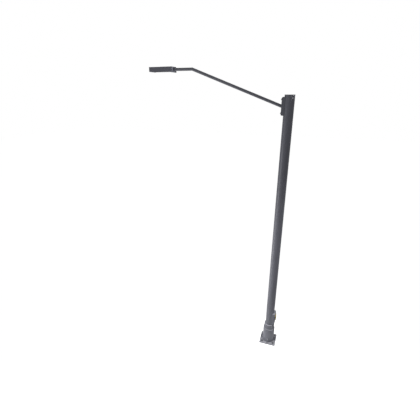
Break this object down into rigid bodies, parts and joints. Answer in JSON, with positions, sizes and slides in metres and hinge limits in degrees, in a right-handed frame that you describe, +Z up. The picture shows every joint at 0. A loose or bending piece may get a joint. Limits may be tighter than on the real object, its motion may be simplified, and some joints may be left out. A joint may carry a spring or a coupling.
{
  "type": "street lamp post",
  "caption": "Round grey steel street lamp post on a stepped, gusseted base, with a side hand hole and lock box, one bent arm and a flat LED luminaire.",
  "frame": {"origin": "centre of the base plate's underside, where the post stands on its foundation", "axes": "+Z up along the pole's axis; the arm and luminaire point along -X; the hand hole faces +X; +Y is the door hinge's side"},
  "size_m": [3.198, 0.406, 6.669],
  "materials": {
    "pole_paint": "satin",
    "door_paint": "satin",
    "luminaire_paint": "satin dark grey powder coat on die-cast aluminium",
    "anchor_steel": "weathered galvanized",
    "zinc_steel": "zinc plated",
    "brass": "satin",
    "marker_sheet": "satin reflective sheet",
    "rubber": "matte",
    "cable_sheath": "matte",
    "box_plastic": "matte",
    "black_plastic": "matte",
    "white_plastic": "matte",
    "blue_plastic": "matte",
    "board_white": "satin",
    "phosphor": "satin",
    "optic_clear": "clear acrylic",
    "lens_glass": "clear toughened glass",
    "driver_case": "satin"
  },
  "bodies": {
    "post": {"base_plate": "pole_paint", "base_gussets": "pole_paint", "base_sleeve": "pole_paint", "base_collar": "pole_paint", "anchor_washers": "anchor_steel", "anchor_nuts": "anchor_steel", "pole_tube": "pole_paint", "pole_cap": "pole_paint", "pole_cap_screws": "zinc_steel", "handhole_frame": "pole_paint", "handhole_gasket": "rubber", "handhole_hinge_pins": "zinc_steel", "earth_bolt": "brass", "equipment_rail": "zinc_steel", "fuse_box_base": "box_plastic", "fuse_box_cover": "box_plastic", "fuse_box_screws": "zinc_steel", "fuse_holders": "black_plastic", "pole_terminal_block": "white_plastic", "cable_glands": "black_plastic", "riser_cable": "cable_sheath", "cable_splice": "blue_plastic", "arm_saddle": "pole_paint", "arm_flange": "pole_paint", "arm_washers": "zinc_steel", "arm_bolts": "zinc_steel", "arm_grommet": "rubber", "arm_tube": "pole_paint"},
    "hand_hole_door": {"handhole_door": "door_paint", "lock_housing": "door_paint", "marker_sleeve": "marker_sheet"},
    "door_lock": {"lock_spindle": "zinc_steel", "lock_cam": "zinc_steel", "lock_nut": "zinc_steel"},
    "luminaire": {"luminaire_body": "luminaire_paint", "luminaire_end_cap": "luminaire_paint", "luminaire_rear_plate": "luminaire_paint", "end_screws": "zinc_steel", "slipfitter_saddle": "luminaire_paint", "slipfitter_strap": "zinc_steel", "slipfitter_bolts": "zinc_steel", "led_board": "board_white", "led_emitters": "phosphor", "led_optics": "optic_clear", "lens_frame": "luminaire_paint", "lens_gasket": "rubber", "lens_glass": "lens_glass", "lens_screws": "zinc_steel", "led_driver": "driver_case", "driver_screws": "zinc_steel", "surge_protector": "blue_plastic", "luminaire_terminal_block": "white_plastic", "luminaire_lead": "cable_sheath", "driver_door_pins": "zinc_steel"},
    "driver_tray": {"driver_door": "luminaire_paint"},
    "tray_latch": {"driver_door_latch": "zinc_steel"}
  },
  "joints": [
    {"name": "hand_hole_hinge", "type": "hinge", "parent": "post", "child": "hand_hole_door", "pos_m": [0.127, 0.094, 0.7405], "axis": [0, 0, 1], "range_deg": [0, 120]},
    {"name": "lock_turn", "type": "hinge", "parent": "hand_hole_door", "child": "door_lock", "pos_m": [0.115, 0, 0.787], "axis": [1, 0, 0], "range_deg": [0, 90]},
    {"name": "luminaire_tilt", "type": "hinge", "parent": "post", "child": "luminaire", "pos_m": [-2.52, 0, 6.615], "axis": [0, 1, 0], "range_deg": [-5, 5]},
    {"name": "driver_tray_hinge", "type": "hinge", "parent": "luminaire", "child": "driver_tray", "pos_m": [-2.712, 0, 6.583], "axis": [0, 1, 0], "range_deg": [0, 90]},
    {"name": "tray_latch_turn", "type": "hinge", "parent": "driver_tray", "child": "tray_latch", "pos_m": [-2.492, 0.08, 6.575], "axis": [0, 0, -1], "range_deg": [0, 90]}
  ]
}
